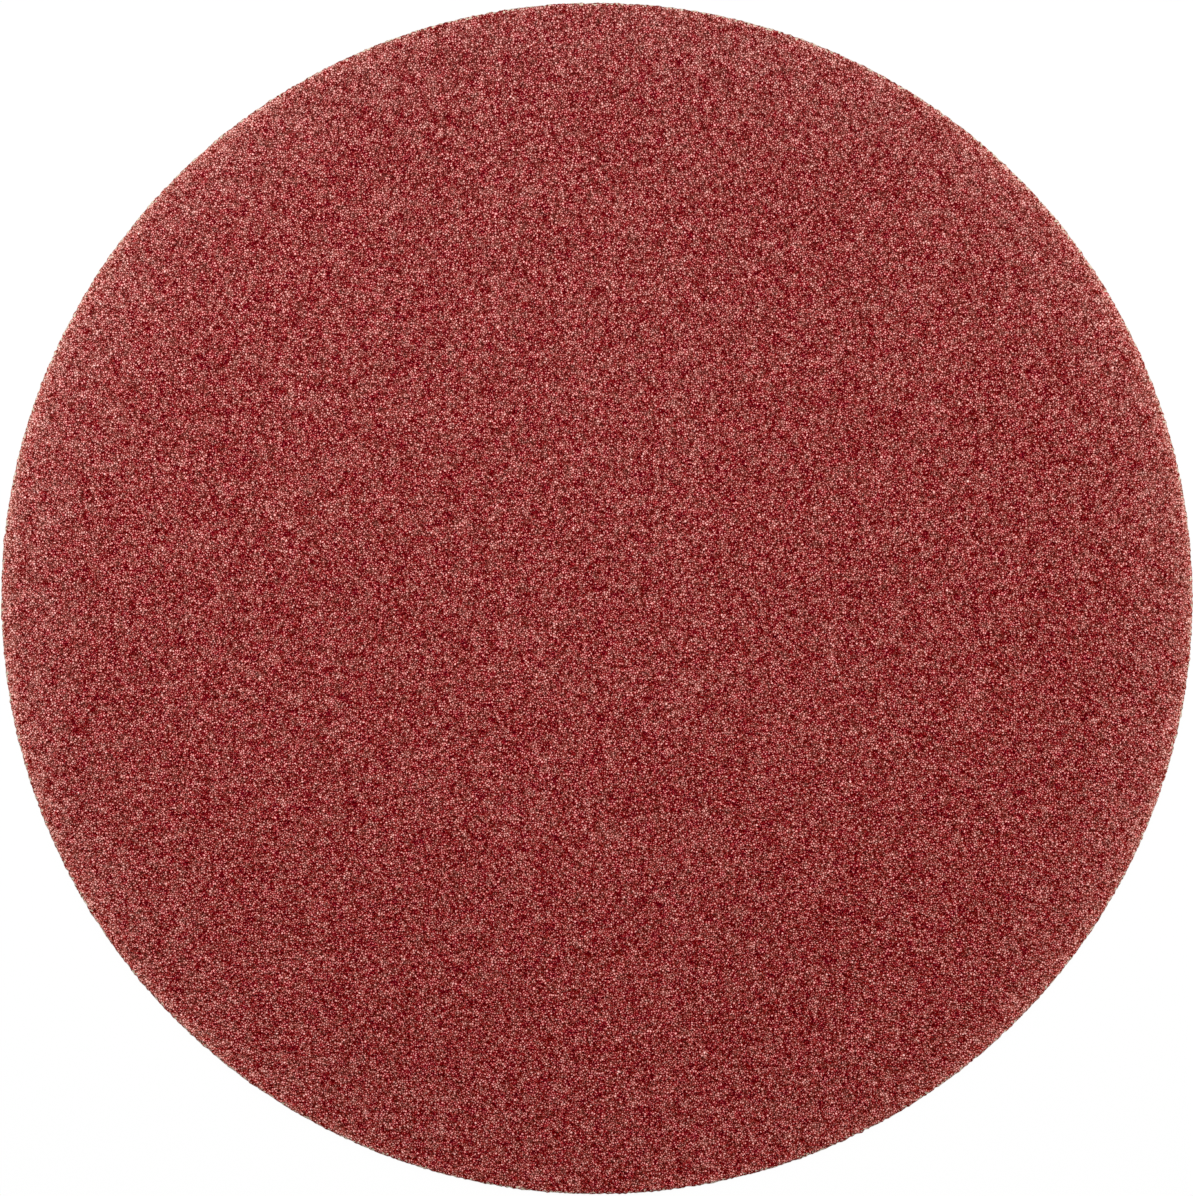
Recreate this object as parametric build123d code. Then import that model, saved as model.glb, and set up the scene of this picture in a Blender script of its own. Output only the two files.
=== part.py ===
from build123d import *
import os

# A round sanding disc: heavy paper with a closed coat of grit on its upper side, in millimetres.
# It lies on its paper back. The origin is the centre of the back and +Z points out of the grit.

# Driving sizes
disc_diameter = 150.0  # across the cut edge
paper_thickness = 0.36  # heavy backing paper
resin_thickness = 0.14  # the bed of resin that holds the feet of the grains
grit_height = 0.35  # how far the grains stand out of the resin
cut_roll_radius = 0.10  # the paper is pressed round at the back edge, where the punch enters
resin_setback = 0.12  # the brittle resin breaks off this far inside the cut

# Levels and radii that follow from them
disc_radius = disc_diameter / 2
resin_radius = disc_radius - resin_setback
resin_level = paper_thickness + resin_thickness
grit_level = resin_level + grit_height


def disc_section() -> Sketch:
    """Half of the disc's section, from its axis out to the cut edge.

    Returns:
        The section as a face in the XZ plane, with the axis of the disc along Z.
    """
    with BuildSketch(Plane.XZ) as section:
        with BuildLine():
            back = Line((0, 0), (disc_radius - cut_roll_radius, 0))
            cut_roll = TangentArc(back @ 1, (disc_radius, cut_roll_radius), tangent=back % 1)
            cut_wall = Line(cut_roll @ 1, (disc_radius, paper_thickness))
            resin_break = Line(cut_wall @ 1, (resin_radius, resin_level))
            # The outermost grains lean out over the break, so the rim is as round as they are high.
            face = Line((0, grit_level), (resin_radius - grit_height, grit_level))
            TangentArc(face @ 1, resin_break @ 1, tangent=face % 1)
            Line(face @ 0, back @ 0)
        make_face()
    return section.sketch


def sanding_disc() -> Part:
    """The disc, turned from its section because the punch cuts it round.

    Returns:
        One closed solid that lies on the XY plane.
    """
    return revolve(disc_section(), axis=Axis.Z)


os.makedirs("parts", exist_ok=True)
export_step(sanding_disc(), "parts/sanding_disc.step")
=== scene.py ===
"""A round sanding disc on a white table, seen from straight above.

The paper back and the coat of grit are modelled as meshes in the place of the solid disc. Sizes are in
metres. The disc lies on its paper, with the origin at the middle of its back, and +Z points out of the grit.
"""

import sys
import logging
import math
from collections.abc import Mapping
from dataclasses import dataclass
from enum import Enum

import bpy
import numpy as np
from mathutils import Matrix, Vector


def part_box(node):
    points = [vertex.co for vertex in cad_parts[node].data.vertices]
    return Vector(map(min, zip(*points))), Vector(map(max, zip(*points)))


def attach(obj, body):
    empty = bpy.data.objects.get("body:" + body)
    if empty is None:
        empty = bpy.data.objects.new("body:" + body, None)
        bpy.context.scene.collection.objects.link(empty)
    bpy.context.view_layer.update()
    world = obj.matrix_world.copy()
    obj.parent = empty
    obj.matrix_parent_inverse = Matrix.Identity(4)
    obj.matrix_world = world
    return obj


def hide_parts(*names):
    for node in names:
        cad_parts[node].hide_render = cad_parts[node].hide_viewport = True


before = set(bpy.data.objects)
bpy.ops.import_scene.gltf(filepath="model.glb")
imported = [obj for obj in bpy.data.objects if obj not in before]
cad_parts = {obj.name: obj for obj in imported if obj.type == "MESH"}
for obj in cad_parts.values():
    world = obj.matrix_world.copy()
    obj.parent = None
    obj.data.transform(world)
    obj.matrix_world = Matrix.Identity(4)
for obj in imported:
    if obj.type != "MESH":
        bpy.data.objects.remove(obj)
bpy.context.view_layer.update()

LOG = logging.getLogger("sanding_disc")
DISC_NODE = "sanding_disc"
BAKE_MAP = "OFBake"
SECTORS = 6
SECTOR_TURN = 2 * math.pi / SECTORS
NOISE_MEAN = 0.5
SAME_HUE = 0.5

Colour = tuple[float, float, float]
WHITE: Colour = (1.0, 1.0, 1.0)


class Slot(Enum):
    """The material slots of the record."""

    GRIT = "red_grit"
    PAPER = "backing_paper"


class Cell(Enum):
    """What is read from cells of random shape: the node's feature and its output."""

    RANDOM = ("F1", "Color")
    FROM_WALL = ("DISTANCE_TO_EDGE", "Distance")


@dataclass(frozen=True)
class DiscLevels:
    """The radii and levels that the paper and the coat share."""

    radius: float  # from the axis to the cut
    grit_level: float  # the tips of the highest grains
    paper_level: float = 0.36e-3  # the top of the paper
    resin_level: float = 0.50e-3  # the top of the bed of resin
    resin_setback: float = 0.12e-3  # how far inside the cut the resin breaks off
    cut_roll_radius: float = 0.10e-3  # the paper's round back edge

    @property
    def resin_radius(self) -> float:
        """Where the brittle resin broke off, a little inside the cut."""
        return self.radius - self.resin_setback

    @property
    def grit_height(self) -> float:
        """How far the highest grains stand out of the resin."""
        return self.grit_level - self.resin_level


class Value:
    """A number that varies over a surface: a node's output with arithmetic."""

    def __init__(self, graph: "Graph", socket: bpy.types.NodeSocket) -> None:
        """Wraps an output socket of a graph's node."""
        self.graph = graph
        self.socket = socket

    def _math(self, operation: str, *terms: "Value | float") -> "Value":
        """Adds one Math node.

        Args:
            operation: The Math node's operation.
            terms: Its inputs in order.

        Returns:
            The node's result.
        """
        return self.graph.add("ShaderNodeMath", dict(enumerate(terms)), operation=operation)

    def __add__(self, other: "Value | float") -> "Value":
        """self + other."""
        return self._math("ADD", self, other)

    def __radd__(self, other: float) -> "Value":
        """other + self."""
        return self._math("ADD", other, self)

    def __sub__(self, other: "Value | float") -> "Value":
        """self - other."""
        return self._math("SUBTRACT", self, other)

    def __rsub__(self, other: float) -> "Value":
        """other - self."""
        return self._math("SUBTRACT", other, self)

    def __mul__(self, other: "Value | float") -> "Value":
        """self * other."""
        return self._math("MULTIPLY", self, other)

    def __rmul__(self, other: float) -> "Value":
        """other * self."""
        return self._math("MULTIPLY", other, self)

    def __truediv__(self, other: "Value | float") -> "Value":
        """self / other."""
        return self._math("DIVIDE", self, other)

    def __rtruediv__(self, other: float) -> "Value":
        """other / self."""
        return self._math("DIVIDE", other, self)

    def __pow__(self, other: "Value | float") -> "Value":
        """self ** other."""
        return self._math("POWER", self, other)

    def __rpow__(self, other: float) -> "Value":
        """other ** self."""
        return self._math("POWER", other, self)

    def larger(self, other: "Value | float") -> "Value":
        """The larger of two values."""
        return self._math("MAXIMUM", self, other)

    def clamped(self) -> "Value":
        """The value kept between 0 and 1."""
        return self._math("MINIMUM", self.larger(0.0), 1.0)

    def spanned(self, low: float, high: float) -> "Value":
        """The range from low to high stretched over 0 to 1, with the rest kept at the ends."""
        return ((self - low) / (high - low)).clamped()


Feed = Value | float | tuple[float, ...]
Stops = tuple[tuple[float, Colour], ...]


class Graph:
    """The node tree of one material or world, built from expressions."""

    def __init__(self, owner: bpy.types.Material | bpy.types.World) -> None:
        """Clears a node tree and keeps it.

        Args:
            owner: The material or world that the tree belongs to.
        """
        owner.use_nodes = True
        self.tree = owner.node_tree
        self.tree.nodes.clear()

    @staticmethod
    def _socket(sockets: bpy.types.bpy_prop_collection, key: str | int) -> bpy.types.NodeSocket:
        """Finds a socket by its place, or the one in use by its name.

        Args:
            sockets: A node's inputs or outputs.
            key: The socket's place or name.

        Returns:
            The socket.
        """
        if isinstance(key, int):
            return sockets[key]
        return next(socket for socket in sockets if socket.name == key and socket.enabled)

    @staticmethod
    def _set_stops(elements: bpy.types.ColorRampElements, stops: Stops) -> None:
        """Gives a ramp its stops.

        Args:
            elements: The ramp's two first stops.
            stops: Each colour's place from 0 to 1 and the colour, in rising order.
        """
        while len(elements) < len(stops):
            elements.new(1.0)
        for element, (position, colour) in zip(elements, stops, strict=True):
            element.position = position
            element.color = (*colour, 1.0)

    def _node(
        self, kind: str, sockets: Mapping[str | int, Feed], settings: Mapping[str, object]
    ) -> bpy.types.Node:
        """Adds a node, gives it its settings and then feeds its inputs.

        Args:
            kind: The node's type.
            sockets: What feeds its inputs, by name or place: links or plain values.
            settings: The node's own settings, or a ramp's stops.

        Returns:
            The node.
        """
        node = self.tree.nodes.new(kind)
        for key, setting in settings.items():
            if key == "stops":
                self._set_stops(node.color_ramp.elements, setting)
            else:
                setattr(node, key, setting)
        for key, feed in sockets.items():
            target = self._socket(node.inputs, key)
            if isinstance(feed, Value):
                self.tree.links.new(feed.socket, target)
            else:
                target.default_value = (*feed, 1.0) if target.type == "RGBA" else feed
        return node

    def add(
        self, kind: str, sockets: Mapping[str | int, Feed], output: str | int = 0, **settings: object
    ) -> Value:
        """Adds a node.

        Args:
            kind: The node's type.
            sockets: What feeds its inputs, by name or place: links or plain values.
            output: Which output is wanted, by name or place.
            settings: The node's own settings, which are set first.

        Returns:
            The wanted output.
        """
        node = self._node(kind, sockets, settings)
        return Value(self, self._socket(node.outputs, output))

    def place(self) -> Value:
        """The point on the surface, in metres from the disc's origin."""
        return self.add("ShaderNodeTexCoord", {}, "Object")

    def parts(self, vector: Value) -> tuple[Value, ...]:
        """The three numbers of a vector or colour."""
        split = self._node("ShaderNodeSeparateXYZ", {0: vector}, {})
        return tuple(Value(self, output) for output in split.outputs)

    def noise(self, place: Value, size: float, detail: float = 0.0) -> Value:
        """Soft noise.

        Args:
            place: The point on the surface.
            size: The size of its largest blobs.
            detail: How many finer layers lie over them.

        Returns:
            The noise, which is NOISE_MEAN on average.
        """
        return self.add("ShaderNodeTexNoise", {"Vector": place, "Scale": 1 / size, "Detail": detail}, "Fac")

    def cells(self, place: Value, size: float, wanted: Cell) -> Value:
        """Cells of random shape.

        Args:
            place: The point on the surface.
            size: The cells' mean size.
            wanted: The cell's own random numbers, or the distance from its wall as a share of that size.

        Returns:
            The wanted output.
        """
        feature, output = wanted.value
        feeds = {"Vector": place, "Scale": 1 / size}
        return self.add("ShaderNodeTexVoronoi", feeds, output, feature=feature)

    def ramp(self, value: Value, stops: Stops) -> Value:
        """Turns a number into a colour.

        Args:
            value: The number.
            stops: Each colour's place from 0 to 1 and the colour, in rising order.

        Returns:
            The colour.
        """
        return self.add("ShaderNodeValToRGB", {"Fac": value}, "Color", stops=stops)

    def mix(self, factor: Value, first: Feed, second: Feed) -> Value:
        """Mixes two colours.

        Args:
            factor: The share of the second colour.
            first: The first colour.
            second: The second colour.

        Returns:
            The mixed colour.
        """
        feeds = {"Factor": factor, "A": first, "B": second}
        return self.add("ShaderNodeMix", feeds, "Result", data_type="RGBA")

    def bump(self, height: Value, strength: float, depth: float) -> Value:
        """A normal for fine relief.

        Args:
            height: The relief, from 0 to 1.
            strength: The share of it that shows.
            depth: How far it reaches.

        Returns:
            The normal.
        """
        feeds = {"Height": height, "Strength": strength, "Distance": depth}
        return self.add("ShaderNodeBump", feeds, "Normal")

    def principled(self, **sockets: Feed) -> Value:
        """Adds the surface shader; an input's name has _ for its spaces."""
        feeds = {name.replace("_", " "): feed for name, feed in sockets.items()}
        return self.add("ShaderNodeBsdfPrincipled", feeds, "BSDF")

    def finish(self, kind: str, surface: Value) -> None:
        """Joins the surface to the tree's output node of the given type."""
        self._node(kind, {"Surface": surface}, {})


@dataclass(frozen=True)
class CoatedGritFinish:
    """Pale grains under deep red resin, which is thick in the crevices and thin on the tips.

    One tone runs from the crevices to the bare grain. Its dark end is partly painted shade in the crevices
    and low places, and its pale end is partly a painted sheen on the tips. It sums the height, a random share
    for each grain and for each of its facets, the crevices between grains, broad mottling, the pools of resin
    and a painted sheen near the rim that is strongest at the sides. The pools are also a purer red, and the
    lean spots between them a browner one. The red is also painted paler toward the upper end of the disc,
    where more light falls.
    """

    levels: DiscLevels

    # Colours along the tone, and where the two of the resin lie on it. The crevice colour is partly thick
    # resin and partly painted shade. The thin resin and the bare grain are partly their own pale colour and
    # partly a painted sheen of light on the tips
    crevice_resin_and_shade: Colour = (0.095, 0.0003, 0.0003)
    thick_resin: Colour = (0.275, 0.007, 0.0056)
    thin_resin_and_sheen: Colour = (0.578, 0.1135, 0.101)
    bare_grain_and_sheen: Colour = (0.82, 0.395, 0.372)
    thick_resin_at: float = 0.3
    thin_resin_and_sheen_at: float = 0.6

    # What the tone sums. The height and the crevices also paint the tips lighter and the crevices darker, as
    # painted sheen and painted shade
    base_tone: float = 0.885
    height_share: float = 0.35
    grain_share: float = 0.3
    grain_size: float = 0.28e-3
    facet_share: float = 0.6
    facet_size: float = 0.14e-3
    crevice_resin_and_shade_share: float = 1.85
    crevice_width: float = 0.14e-3
    mottle_share: float = 0.04
    mottle_size: float = 3.0e-3
    pool_share: float = 0.3
    pool_size: float = 1.0e-3
    cloud_detail: float = 2.0

    # How the pools change the red
    pool_purity: float = 0.36
    pool_hue: float = 0.031

    # The painted sheen at the rim, a paler red that stands in for light on the rim: how much, how far in, how
    # steeply, and how that differs round the disc
    rim_sheen: float = 0.42
    rim_sheen_reach: float = 12.0e-3
    rim_sheen_fall: float = 12.0
    rim_sheen_at_cut: float = 0.8
    rim_sheen_to_top: float = 0.15
    rim_sheen_to_sides: float = 0.7
    rim_sheen_hue: float = 0.01
    rim_sheen_pallor: float = 0.035

    # Painted sheen: the red is paler toward the upper end of the disc, where more light falls, set by that
    # end's angle from +X
    sheen_end_turn: float = 1.82
    sheen_end_share: float = 0.029

    # Chips along the cut, down to the paper's fibres
    torn_fibre: Colour = (0.57, 0.47, 0.355)
    chips_reach: float = 0.45e-3
    chips_fall: float = 0.5
    chips_share: float = 0.29
    chips_onset: float = 0.1
    chip_size: float = 0.35e-3
    chip_edge: tuple[float, float] = (0.82, 0.86)

    # Sheen
    least_roughness: float = 0.4
    roughness_range: float = 0.3
    resin_specular: float = 0.02
    gloss: float = 0.7
    gloss_roughness: float = 0.25

    def clouds(self, graph: Graph, place: Value, size: float) -> Value:
        """Soft clouds of the given size, from about -0.5 to 0.5."""
        return graph.noise(place, size, self.cloud_detail) - NOISE_MEAN

    def near_rim(self, graph: Graph, place: Value, reach: float) -> Value:
        """How near a point is to the cut.

        Args:
            graph: The material's graph.
            place: The point on the surface.
            reach: How far inside the cut it counts.

        Returns:
            The nearness, from 0 at that reach to 1 at the cut.
        """
        across, along, _ = graph.parts(place)
        from_axis = (across ** 2.0 + along ** 2.0) ** 0.5
        return from_axis.spanned(self.levels.radius - reach, self.levels.radius)

    def rim_sheen_round_disc(self, graph: Graph, place: Value) -> Value:
        """How strong the painted sheen on the rim is round the disc.

        Args:
            graph: The material's graph.
            place: The point on the surface.

        Returns:
            The strength: most at the two sides, less at the top and least at the bottom.
        """
        _, along, _ = graph.parts(place)
        up = along / self.levels.radius
        return 1.0 + self.rim_sheen_to_top * up - self.rim_sheen_to_sides * (up * up) ** 2.0

    def lean(self, graph: Graph, place: Value) -> Value:
        """How far a point lies toward the end of the disc where the red is painted paler, as a painted sheen.

        Args:
            graph: The material's graph.
            place: The point on the surface.

        Returns:
            The place along that way, from -1 at the other end of the disc to 1 at the end with the most
            painted sheen.
        """
        across, along, _ = graph.parts(place)
        way = across * math.cos(self.sheen_end_turn) + along * math.sin(self.sheen_end_turn)
        return way / self.levels.radius

    def tone(self, graph: Graph, place: Value, facet: Value, pool: Value, rim_sheen_here: Value) -> Value:
        """Where a point stands between the crevices with their painted shade, at 0, and the bare grain with
        its painted sheen, at 1.

        Args:
            graph: The material's graph.
            place: The point on the surface.
            facet: The facet's own random number, from 0 to 1.
            pool: How deep the resin has pooled, from -0.5 to 0.5.
            rim_sheen_here: How much painted sheen the rim has here, from 0 to 1.

        Returns:
            The tone.
        """
        _, _, height = graph.parts(place)
        # Painted shade and sheen: low points and the crevices between grains are darker and tips lighter,
        # partly from thick and thin resin
        rise = height.spanned(self.levels.resin_level, self.levels.grit_level)
        _, grain, _ = graph.parts(graph.cells(place, self.grain_size, Cell.RANDOM))
        from_wall = graph.cells(place, self.grain_size, Cell.FROM_WALL)
        crevice_resin_and_shade = 1.0 - (from_wall * self.grain_size).spanned(0.0, self.crevice_width)
        mottle = self.clouds(graph, place, self.mottle_size)
        tone = self.base_tone + self.height_share * rise + self.grain_share * grain + self.facet_share * facet
        tone = tone - self.crevice_resin_and_shade_share * crevice_resin_and_shade + self.mottle_share * mottle
        # Painted sheen near the rim lightens the tone there
        return (tone - self.pool_share * pool + self.rim_sheen * rim_sheen_here).clamped()

    def chips(self, graph: Graph, place: Value) -> Value:
        """Where the cut tore the coat off the paper.

        Args:
            graph: The material's graph.
            place: The point on the surface.

        Returns:
            The chips: 1 on bare fibre and 0 elsewhere.
        """
        near = self.near_rim(graph, place, self.chips_reach) ** self.chips_fall
        torn = (self.chips_share * near + graph.noise(place, self.chip_size)).spanned(*self.chip_edge)
        return torn * near.spanned(0.0, self.chips_onset)

    def material(self) -> bpy.types.Material:
        """Builds the material.

        Returns:
            The grit's material.
        """
        made = bpy.data.materials.new("coated_grit")
        graph = Graph(made)
        place = graph.place()
        facet, dulled, _ = graph.parts(graph.cells(place, self.facet_size, Cell.RANDOM))
        pool = self.clouds(graph, place, self.pool_size)
        # Painted sheen at the rim: the red is paler near the cut, standing in for light on the rim, and
        # strongest at the sides
        near = self.near_rim(graph, place, self.rim_sheen_reach)
        rim_sheen_round_disc = self.rim_sheen_round_disc(graph, place)
        rim_sheen_here = rim_sheen_round_disc * (self.rim_sheen_at_cut * near ** self.rim_sheen_fall + (1 - self.rim_sheen_at_cut) * near)
        tone = self.tone(graph, place, facet, pool, rim_sheen_here)
        # The ramp's dark end is partly painted shade and its pale end partly painted sheen
        stops = (
            (0.0, self.crevice_resin_and_shade),
            (self.thick_resin_at, self.thick_resin),
            (self.thin_resin_and_sheen_at, self.thin_resin_and_sheen),
            (1.0, self.bare_grain_and_sheen),
        )
        # Painted sheen: the red is paler near the rim and toward the upper end of the disc
        painted_pallor = self.rim_sheen_pallor * rim_sheen_round_disc * near + self.sheen_end_share * self.lean(graph, place)
        stained = {
            "Hue": SAME_HUE - self.pool_hue * pool + self.rim_sheen_hue * rim_sheen_here,
            "Saturation": 1.0 + self.pool_purity * pool - painted_pallor,
            "Color": graph.ramp(tone, stops),
        }
        coated = graph.add("ShaderNodeHueSaturation", stained, "Color")
        shader = graph.principled(
            Base_Color=graph.mix(self.chips(graph, place), coated, self.torn_fibre),
            Roughness=self.least_roughness + self.roughness_range * dulled,
            Specular_IOR_Level=self.resin_specular,
            Coat_Weight=self.gloss * tone,
            Coat_Roughness=self.gloss_roughness,
        )
        graph.finish("ShaderNodeOutputMaterial", shader)
        return made


@dataclass(frozen=True)
class BuffPaperFinish:
    """Plain buff paper with a felt of fibres and a little cloudiness."""

    fibre: Colour = (0.58, 0.47, 0.34)
    between: Colour = (0.42, 0.32, 0.22)
    fibre_size: float = 0.45e-3
    fibre_detail: float = 4.0
    cloud_size: float = 6.0e-3
    cloud_share: float = 0.35
    roughness: float = 0.85
    felt_strength: float = 0.35
    felt_depth: float = 0.05e-3

    def material(self) -> bpy.types.Material:
        """Builds the material.

        Returns:
            The paper's material.
        """
        made = bpy.data.materials.new("buff_paper")
        graph = Graph(made)
        place = graph.place()
        felt = graph.noise(place, self.fibre_size, self.fibre_detail)
        cloud = graph.noise(place, self.cloud_size, self.fibre_detail)
        shade = felt + self.cloud_share * (cloud - felt)
        shader = graph.principled(
            Base_Color=graph.ramp(shade, ((0.0, self.between), (1.0, self.fibre))),
            Roughness=self.roughness,
            Normal=graph.bump(felt, self.felt_strength, self.felt_depth),
        )
        graph.finish("ShaderNodeOutputMaterial", shader)
        return made


def in_scene(name: str, data: bpy.types.ID) -> bpy.types.Object:
    """Puts an object into the scene.

    Args:
        name: The object's name.
        data: Its mesh, lamp or camera.

    Returns:
        The object.
    """
    made = bpy.data.objects.new(name, data)
    bpy.context.scene.collection.objects.link(made)
    return made


@dataclass(frozen=True)
class Shell:
    """A closed mesh and a flat map for its finish.

    The first of its triangles, as many as rounded says, are shaded as one round face.
    """

    points: np.ndarray
    triangles: np.ndarray
    flat: np.ndarray
    rounded: int = 0

    def piece(self, name: str, material: bpy.types.Material, slot: Slot) -> bpy.types.Object:
        """Makes a piece of the disc, which stands for the solid one.

        Args:
            name: The piece's name.
            material: Its material.
            slot: Not used.

        Returns:
            The piece.
        """
        mesh = bpy.data.meshes.new(name)
        mesh.from_pydata(self.points, [], self.triangles)
        mesh.uv_layers.new(name=BAKE_MAP).uv.foreach_set("vector", self.flat.astype(np.float32).ravel())
        mesh.polygons.foreach_set("use_smooth", np.arange(len(self.triangles)) < self.rounded)
        mesh.materials.append(material)
        piece = in_scene(name, mesh)
        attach(piece, "root")
        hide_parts(DISC_NODE)
        return piece


@dataclass(frozen=True)
class RoundLattice:
    """A disc of near equal triangles.

    The middle is one point, and ring k round it holds SECTORS * k points. A sector is a triangle of rows, of
    which row k holds k + 1 points.
    """

    rings: int

    @staticmethod
    def ring_start(ring: np.ndarray) -> np.ndarray:
        """The number of a ring's first point."""
        return np.where(ring > 0, 1 + SECTORS * ring * (ring - 1) // 2, 0)

    @staticmethod
    def row_start(row: np.ndarray) -> np.ndarray:
        """The number of the first point of a sector's row."""
        return row * (row + 1) // 2

    def ring_and_step(self) -> tuple[np.ndarray, np.ndarray]:
        """Numbers the points from the middle outwards.

        Returns:
            Each point's ring, and its place along the ring.
        """
        rings = np.arange(self.rings + 1)
        ring = np.repeat(rings, np.maximum(SECTORS * rings, 1))
        return ring, np.arange(len(ring)) - self.ring_start(ring)

    def row_and_step(self) -> tuple[np.ndarray, np.ndarray]:
        """Numbers the points of one sector, its first and last points of each row included.

        Returns:
            Each point's row, and its place along the row.
        """
        rows = np.arange(self.rings + 1)
        row = np.repeat(rows, rows + 1)
        return row, np.arange(len(row)) - self.row_start(row)

    def sector_points(self, sector: int) -> np.ndarray:
        """Finds a sector's points among the whole lattice's.

        Args:
            sector: Which sector, anticlockwise from +X.

        Returns:
            The number in the lattice of each point of the sector.
        """
        row, step = self.row_and_step()
        round_the_ring = (sector * row + step) % np.maximum(SECTORS * row, 1)
        return self.ring_start(row) + round_the_ring

    def sector_triangles(self) -> np.ndarray:
        """Joins the points of one sector.

        Returns:
            The triangles by point numbers: those based on their outer row, then those on their inner one.
        """
        row, step = self.row_and_step()
        here = np.arange(len(row))
        inside = here - row
        first = (step < row).nonzero()[0]
        on_outer_row = np.stack([here[first], here[first] + 1, inside[first]], 1)
        first = (step < row - 1).nonzero()[0]
        on_inner_row = np.stack([inside[first], here[first] + 1, inside[first] + 1], 1)
        return np.concatenate([on_outer_row, on_inner_row])

    def sector_outline(self) -> np.ndarray:
        """Goes round one sector.

        Returns:
            The point numbers, anticlockwise from the middle.
        """
        row = np.arange(self.rings + 1)
        first = self.row_start(row)
        rim = first[-1] + row
        return np.concatenate([first[:-1], rim, (first + row)[-2:0:-1]])


@dataclass(frozen=True)
class CutEdge:
    """The punched edge, ragged by the grain and the fibres."""

    levels: DiscLevels
    steps: int
    raggedness: float = 0.055e-3
    seed: int = 11

    def radii(self) -> np.ndarray:
        """The radius at each step round the edge."""
        noise = np.random.default_rng(self.seed).normal(size=self.steps)
        return self.levels.radius + self.raggedness * (noise + np.roll(noise, 1)) / 2

    def turns(self) -> np.ndarray:
        """The angle of each step."""
        return 2 * math.pi * np.arange(self.steps) / self.steps


@dataclass(frozen=True)
class SectorMap:
    """Lays a sector flat in the unit square, with its hidden faces small in the free corner."""

    reach: float
    lean: float = math.pi / 12
    margin: float = 0.015
    hidden_corner: tuple[float, float] = (0.88, 0.08)
    hidden_scale: float = 0.05

    def seen(self, points: np.ndarray, sector: int) -> np.ndarray:
        """The map of the upper side.

        Args:
            points: Corners of the sector.
            sector: Which sector, anticlockwise from +X.

        Returns:
            Their places in the square.
        """
        turn = self.lean - sector * SECTOR_TURN
        x = points[:, 0] * math.cos(turn) - points[:, 1] * math.sin(turn)
        y = points[:, 0] * math.sin(turn) + points[:, 1] * math.cos(turn)
        side = self.reach * math.cos(self.lean)
        return self.margin + (1 - 2 * self.margin) * np.stack([x, y], 1) / side

    def hidden(self, points: np.ndarray) -> np.ndarray:
        """The map of the faces that the other pieces cover."""
        skew = np.stack([points[:, 0], points[:, 1] + points[:, 2]], 1)
        return np.array(self.hidden_corner) + self.hidden_scale * skew / self.reach


@dataclass(frozen=True)
class GritCoat:
    """The closed coat of grit in its resin, in equal sectors."""

    levels: DiscLevels
    lattice: RoundLattice
    edge: CutEdge
    scatter: float = 0.38
    plateau: float = 1.6
    seed: int = 7

    def relief(self) -> np.ndarray:
        """Scatters the corners of the facets and lifts them to the heights of the grains.

        Returns:
            The place of each point of the lattice.
        """
        draw = np.random.default_rng(self.seed)
        ring, step = self.lattice.ring_and_step()
        pitch = self.levels.resin_radius / self.lattice.rings
        turn = step * SECTOR_TURN / np.maximum(ring, 1)
        reach = pitch * ring
        inner = ring < self.lattice.rings
        drift = pitch * self.scatter * np.sqrt(draw.random(len(ring))) * inner
        way = 2 * math.pi * draw.random(len(ring))
        reach[~inner] += self.edge.radii() - self.levels.radius
        lift = 1 - draw.random(len(ring)) ** self.plateau
        inset = np.clip((self.levels.resin_radius - reach) / self.levels.grit_height, 0, 1)
        shoulder = np.sqrt(1 - (1 - inset) ** 2)
        x = reach * np.cos(turn) + drift * np.cos(way)
        y = reach * np.sin(turn) + drift * np.sin(way)
        z = self.levels.resin_level + self.levels.grit_height * lift * shoulder
        return np.stack([x, y, z], 1)

    def underside(self, outline: np.ndarray, sector: int) -> np.ndarray:
        """The outline of a sector where it meets the paper.

        Args:
            outline: The corners round the sector's top.
            sector: Which sector, anticlockwise from +X.

        Returns:
            A corner under each of them, spread to the cut along the rim.
        """
        rings = self.lattice.rings
        under = outline.copy()
        under[:, 2] = self.levels.paper_level
        steps = (sector * rings + np.arange(rings + 1)) % self.edge.steps
        turn, cut = self.edge.turns()[steps], self.edge.radii()[steps]
        rim = slice(rings, 2 * rings + 1)
        under[rim, 0] = cut * np.cos(turn)
        under[rim, 1] = cut * np.sin(turn)
        return under

    def sector(self, relief: np.ndarray, sector: int) -> Shell:
        """One sector of the coat.

        Args:
            relief: The place of each point of the lattice.
            sector: Which sector, anticlockwise from +X.

        Returns:
            Its closed shell.
        """
        points = relief[self.lattice.sector_points(sector)]
        outline = self.lattice.sector_outline()
        under = self.underside(points[outline], sector)
        middle = np.append(under[:, :2].mean(0), self.levels.paper_level)
        low = len(points) + np.arange(len(under))
        on, down = np.roll(outline, -1), np.roll(low, -1)
        hub = np.full(len(low), len(points) + len(under))
        left_walls = np.stack([outline, low, down], 1)
        right_walls = np.stack([outline, down, on], 1)
        rim = slice(self.lattice.rings, 2 * self.lattice.rings)
        inner = np.r_[0 : rim.start, rim.stop : len(outline)]
        seen = np.concatenate([self.lattice.sector_triangles(), left_walls[rim], right_walls[rim]])
        floor = np.stack([hub, down, low], 1)
        hidden = np.concatenate([left_walls[inner], right_walls[inner], floor])
        corners = np.concatenate([points, under, middle[None]])
        flat = SectorMap(self.levels.radius)
        uv = np.concatenate([flat.seen(corners, sector)[seen.ravel()], flat.hidden(corners)[hidden.ravel()]])
        return Shell(corners, np.concatenate([seen, hidden]), uv)

    def build(self, material: bpy.types.Material) -> list[bpy.types.Object]:
        """Builds the sectors, each a closed shell.

        Args:
            material: The grit's material.

        Returns:
            The sectors, anticlockwise from +X.
        """
        relief = self.relief()
        return [
            self.sector(relief, sector).piece(f"grit_sector_{sector + 1}", material, Slot.GRIT)
            for sector in range(SECTORS)
        ]


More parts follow.
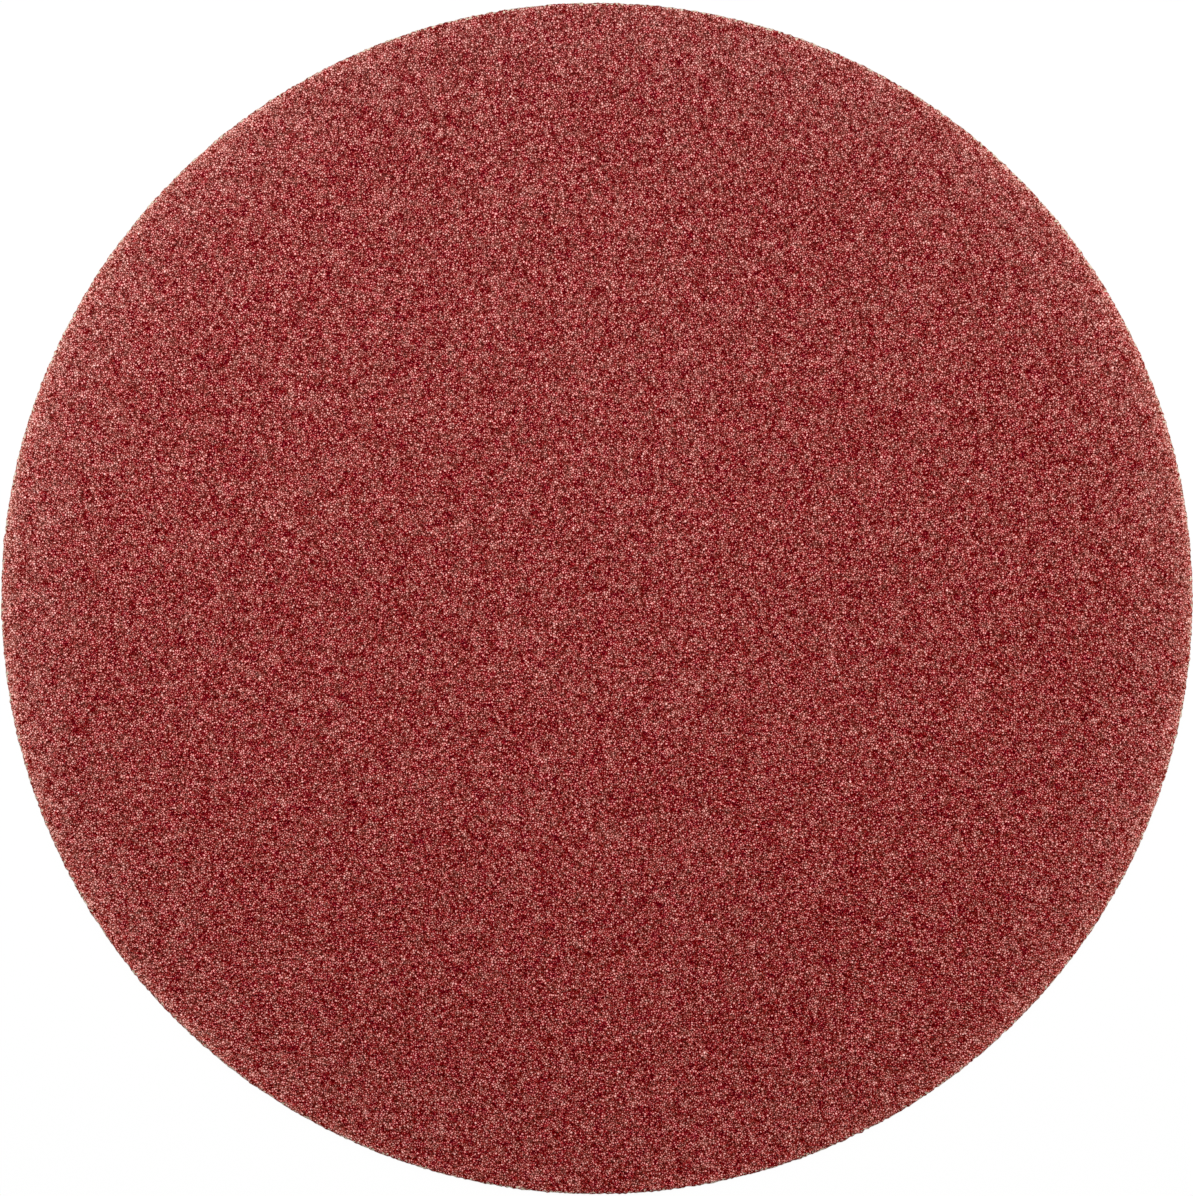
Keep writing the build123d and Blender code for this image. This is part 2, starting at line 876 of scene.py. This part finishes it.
@dataclass(frozen=True)
class PaperBack:
    """The heavy paper under the coat, pressed round at its back edge."""

    levels: DiscLevels
    edge: CutEdge
    roll_steps: int = 3
    wall_steps: int = 3
    map_middle: tuple[float, float] = (0.5, 0.5)
    map_reach: float = 0.49
    hidden_corner: tuple[float, float] = (0.03, 0.03)
    hidden_scale: float = 0.02

    def profile(self) -> list[tuple[float, float, float]]:
        """The edge from the back to the coat.

        Returns:
            For each ring of points, how far it lies inside the cut, its level and its length along the edge.
        """
        roll = self.levels.cut_roll_radius
        leans = [math.pi / 2 * step / self.roll_steps for step in range(self.roll_steps + 1)]
        rings = [(roll * (1 - math.sin(lean)), roll * (1 - math.cos(lean)), roll * lean) for lean in leans]
        wall = self.levels.paper_level - roll
        for step in range(1, self.wall_steps + 1):
            rise = wall * step / self.wall_steps
            rings.append((0.0, roll + rise, rings[self.roll_steps][2] + rise))
        return rings

    def edge_triangles(self, rings: int) -> np.ndarray:
        """The edge between the rings of points.

        Args:
            rings: How many rings there are.

        Returns:
            The triangles from the back to the coat, by point numbers.
        """
        here = np.arange(self.edge.steps)
        beside = np.roll(here, -1)
        bands = []
        for low in range(0, (rings - 1) * self.edge.steps, self.edge.steps):
            high = low + self.edge.steps
            bands.append(np.stack([low + here, low + beside, high + beside], 1))
            bands.append(np.stack([low + here, high + beside, high + here], 1))
        return np.concatenate(bands)

    def build(self, material: bpy.types.Material) -> bpy.types.Object:
        """Builds the paper as one closed shell.

        Args:
            material: The paper's material.

        Returns:
            The paper.
        """
        steps = self.edge.steps
        cut, turn = self.edge.radii()[:, None], self.edge.turns()
        way = np.stack([np.cos(turn), np.sin(turn)], 1)
        profile = self.profile()
        rings = [np.column_stack([(cut - inset) * way, np.full(steps, z)]) for inset, z, _ in profile]
        points = np.concatenate([*rings, [(0.0, 0.0, 0.0), (0.0, 0.0, self.levels.paper_level)]])
        back_hub, top_hub = len(rings) * steps, len(rings) * steps + 1
        back_ring, top_ring = np.arange(steps), (len(rings) - 1) * steps + np.arange(steps)
        edge = self.edge_triangles(len(rings))
        back = np.stack([np.full(steps, back_hub), np.roll(back_ring, -1), back_ring], 1)
        top = np.stack([np.full(steps, top_hub), top_ring, np.roll(top_ring, -1)], 1)
        seen = np.concatenate([edge, back])
        back_inset, whole_length = profile[0][0], profile[-1][2]
        spread = self.map_reach / (self.levels.radius + whole_length)
        middle = np.array(self.map_middle)
        flat_rings = [middle + spread * (cut - back_inset + length) * way for *_, length in profile]
        flat = np.concatenate([*flat_rings, [self.map_middle, self.map_middle]])
        hidden = np.array(self.hidden_corner) + self.hidden_scale * points[:, :2] / self.levels.radius
        uv = np.concatenate([flat[seen.ravel()], hidden[top.ravel()]])
        shell = Shell(points, np.concatenate([seen, top]), uv, rounded=len(edge))
        return shell.piece("paper_back", material, Slot.PAPER)


@dataclass(frozen=True)
class SandingDisc:
    """The disc: the paper and the coat on it, one bonded piece."""

    levels: DiscLevels
    rings: int = 390

    def build(self) -> list[bpy.types.Object]:
        """Builds the disc.

        Returns:
            Its pieces.
        """
        lattice = RoundLattice(self.rings)
        edge = CutEdge(self.levels, SECTORS * self.rings)
        coat = GritCoat(self.levels, lattice, edge).build(CoatedGritFinish(self.levels).material())
        paper = PaperBack(self.levels, edge).build(BuffPaperFinish().material())
        return [*coat, paper]


@dataclass(frozen=True)
class Softbox:
    """A square soft lamp that faces the disc."""

    name: str
    place: tuple[float, float, float]
    watts: float
    side: float = 0.12

    def build(self) -> None:
        """Builds the lamp."""
        lamp = bpy.data.lights.new(self.name, "AREA")
        lamp.shape = "SQUARE"
        lamp.size = self.side
        lamp.energy = self.watts
        made = in_scene(self.name, lamp)
        made.location = self.place
        made.rotation_mode = "QUATERNION"
        made.rotation_quaternion = made.location.to_track_quat("Z", "Y")


@dataclass(frozen=True)
class Studio:
    """A white table under soft light, with the camera straight above.

    The values in pixels are the height of the frame, and the radius of the disc and its place from the
    middle in that frame.
    """

    levels: DiscLevels
    table_side: float = 4.0
    table_white: float = 0.9
    table_glow: float = 0.965
    lens_mm: float = 100.0
    sensor_mm: float = 36.0
    frame_height_px: float = 1196.0
    disc_radius_px: float = 595.7
    disc_centre_px: tuple[float, float] = (0.4, -0.5)
    ambient: float = 0.42
    lamps: tuple[Softbox, ...] = (
        Softbox("softbox_left", (-0.115, 0.082, 0.178), 0.377),
        Softbox("softbox_right", (0.2, 0.083, 0.178), 0.447),
    )

    def _seen(self, graph: Graph) -> Value:
        """Tells the rays that see the backdrop from those that light the disc.

        Args:
            graph: The graph of the table or the world.

        Returns:
            1 for rays that see it, straight or mirrored, and 0 for the others.
        """
        outputs = ("Is Camera Ray", "Is Glossy Ray", "Is Transmission Ray")
        camera, glossy, through = (graph.add("ShaderNodeLightPath", {}, output) for output in outputs)
        return camera.larger(glossy).larger(through)

    def table(self) -> None:
        """Builds the white table, which keeps a faint shadow of the disc."""
        half = self.table_side / 2
        mesh = bpy.data.meshes.new("table")
        corners = [(-half, -half, 0.0), (half, -half, 0.0), (half, half, 0.0), (-half, half, 0.0)]
        mesh.from_pydata(corners, [], [(0, 1, 2, 3)])
        material = bpy.data.materials.new("table")
        graph = Graph(material)
        white = graph.add("ShaderNodeBsdfDiffuse", {"Color": (self.table_white,) * 3}, "BSDF")
        glow = graph.add("ShaderNodeEmission", {"Color": WHITE}, "Emission")
        lit = {0: self._seen(graph) * self.table_glow, 1: white, 2: glow}
        graph.finish("ShaderNodeOutputMaterial", graph.add("ShaderNodeMixShader", lit))
        mesh.materials.append(material)
        made = in_scene("table", mesh)

    def world(self) -> None:
        """Builds the even light from all round, which looks as white as the far end of the table."""
        world = bpy.data.worlds.new("studio")
        graph = Graph(world)
        far_table = self.table_glow + (1 - self.table_glow) * self.table_white * self.ambient
        strength = self.ambient + (far_table - self.ambient) * self._seen(graph)
        feeds = {"Color": WHITE, "Strength": strength}
        graph.finish("ShaderNodeOutputWorld", graph.add("ShaderNodeBackground", feeds, "Background"))
        bpy.context.scene.world = world

    def camera(self) -> None:
        """Places the camera so that the disc has its size and its place in the frame."""
        data = bpy.data.cameras.new("camera")
        data.lens = self.lens_mm
        data.sensor_width = self.sensor_mm
        pixel = self.levels.radius / self.disc_radius_px
        distance = pixel * self.frame_height_px * self.lens_mm / self.sensor_mm
        right, up = self.disc_centre_px
        made = in_scene("camera", data)
        made.location = (-right * pixel, -up * pixel, self.levels.paper_level + distance)
        bpy.context.scene.camera = made

    def build(self) -> None:
        """Builds the table, the light and the camera."""
        self.table()
        self.world()
        for lamp in self.lamps:
            lamp.build()
        self.camera()
        bpy.context.scene.view_settings.view_transform = "Standard"


def main() -> None:
    """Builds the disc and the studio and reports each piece."""
    logging.basicConfig(level=logging.INFO, format="%(message)s", stream=sys.stdout)
    _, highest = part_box(DISC_NODE)
    levels = DiscLevels(radius=highest.x, grit_level=highest.z)
    pieces = SandingDisc(levels).build()
    for piece in pieces:
        mesh = piece.data
        LOG.info("%s: %d points, %d triangles", piece.name, len(mesh.vertices), len(mesh.polygons))
    Studio(levels).build()


if __name__ == "__main__":
    main()
